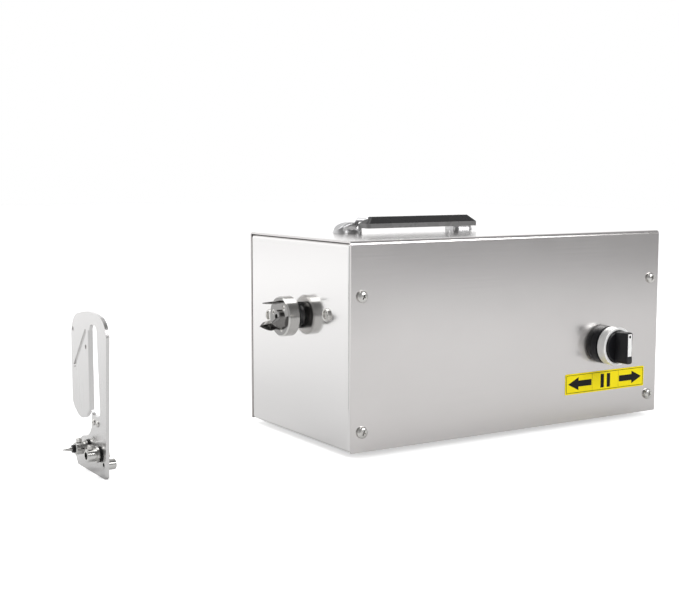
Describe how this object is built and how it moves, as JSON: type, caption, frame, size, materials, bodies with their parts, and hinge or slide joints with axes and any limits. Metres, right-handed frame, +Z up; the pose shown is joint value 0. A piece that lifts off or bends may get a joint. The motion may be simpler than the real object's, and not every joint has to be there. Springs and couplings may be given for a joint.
{
  "type": "electric spiral potato cutter",
  "caption": "Sheet steel case with a geared motor that turns a pronged chuck, a direction selector, a folding top handle and a separate slotted spiral knife.",
  "frame": {"origin": "on the table, at the bottom centre of the box round the machine and its knife", "axes": "+X along the case, away from the chuck; +Y from the selector's front to the back; +Z up"},
  "size_m": [0.4884, 0.1802, 0.167],
  "materials": {
    "case_steel": "brushed",
    "fastener_steel": "satin",
    "foot_rubber": "matt",
    "chuck_steel": "satin",
    "shaft_steel": "machined",
    "housing_alloy": "cast",
    "bearing_steel": "polished",
    "bush_bronze": "plain",
    "motor_paint": "satin",
    "core_steel": "laminated",
    "winding_copper": "enamelled",
    "black_plastic": "fine texture",
    "bezel_chrome": "bright",
    "marker_white": "gloss",
    "label_yellow": "gloss",
    "handle_chrome": "bright",
    "bracket_chrome": "satin",
    "contact_brass": "plated",
    "knife_steel": "satin",
    "knife_rubber": "matt"
  },
  "bodies": {
    "machine": {"cover": "case_steel", "end_plate_left": "case_steel", "end_plate_right": "case_steel", "base_plate": "case_steel", "base_rivets": "fastener_steel", "cover_screws": "fastener_steel", "clinch_nuts": "fastener_steel", "feet": "foot_rubber", "foot_screws": "fastener_steel", "gearbox_housing": "housing_alloy", "gearbox_cover": "housing_alloy", "gearbox_screws": "fastener_steel", "gearbox_bolts": "fastener_steel", "spindle_bearing": "bearing_steel", "shaft_bushes": "bush_bronze", "motor_front_bell": "housing_alloy", "motor_rear_bell": "housing_alloy", "motor_can": "motor_paint", "stator_core": "core_steel", "stator_windings": "winding_copper", "motor_bearings": "bearing_steel", "tie_bolts": "fastener_steel", "motor_bracket": "motor_paint", "selector_collar": "black_plastic", "selector_ring": "bezel_chrome", "selector_lock_nut": "fastener_steel", "switch_adapter": "black_plastic", "contact_blocks": "black_plastic", "direction_label": "label_yellow", "handle_bracket_left": "bracket_chrome", "handle_bracket_right": "bracket_chrome", "handle_screws": "fastener_steel", "power_inlet": "black_plastic", "inlet_pins": "contact_brass", "inlet_screws": "fastener_steel"},
    "spindle": {"chuck_body": "chuck_steel", "chuck_set_screw": "fastener_steel", "chuck_screws": "fastener_steel", "skewer_hub": "chuck_steel", "chuck_prongs": "chuck_steel", "spindle_shaft": "shaft_steel", "output_gear": "shaft_steel"},
    "idler": {"idler_pinion": "shaft_steel", "idler_gear": "shaft_steel"},
    "rotor": {"rotor_shaft": "shaft_steel", "rotor_core": "core_steel", "cooling_fan": "black_plastic"},
    "selector": {"selector_knob": "black_plastic", "knob_marker": "marker_white"},
    "handle": {"handle_bail": "handle_chrome", "handle_grip": "black_plastic"},
    "knife": {"knife_plate": "knife_steel", "knife_sleeves": "knife_steel", "knife_washers": "knife_rubber", "sleeve_nuts": "fastener_steel", "cap_screws": "fastener_steel", "pointed_pin": "knife_steel", "pin_seal": "knife_rubber", "knife_small_screws": "fastener_steel", "rear_standoff": "fastener_steel"}
  },
  "joints": [
    {"name": "motor_spin", "type": "hinge", "parent": "machine", "child": "rotor", "pos_m": [0.04, 0.01233, 0.07013], "axis": [1, 0, 0], "continuous": true},
    {"name": "idler_spin", "type": "hinge", "parent": "machine", "child": "idler", "pos_m": [-0.03, 0.04699, 0.075], "axis": [1, 0, 0], "continuous": true},
    {"name": "spindle_spin", "type": "hinge", "parent": "machine", "child": "spindle", "pos_m": [-0.05, 0.01235, 0.095], "axis": [1, 0, 0], "continuous": true},
    {"name": "selector_turn", "type": "hinge", "parent": "machine", "child": "selector", "pos_m": [0.1824, -0.07, 0.0635], "axis": [0, 1, 0], "range_deg": [-45, 45]},
    {"name": "handle_fold", "type": "hinge", "parent": "machine", "child": "handle", "pos_m": [0.0553, 0.03725, 0.1581], "axis": [-1, 0, 0], "range_deg": [0, 90]},
    {"name": "knife_lift", "type": "slide", "parent": "machine", "child": "knife", "axis": [0, 0, 1], "range_m": [0, 0.1]}
  ],
  "couplings": [
    {"joint": "idler_spin", "follows": "motor_spin", "ratio": -0.25},
    {"joint": "spindle_spin", "follows": "motor_spin", "ratio": 0.083333}
  ]
}
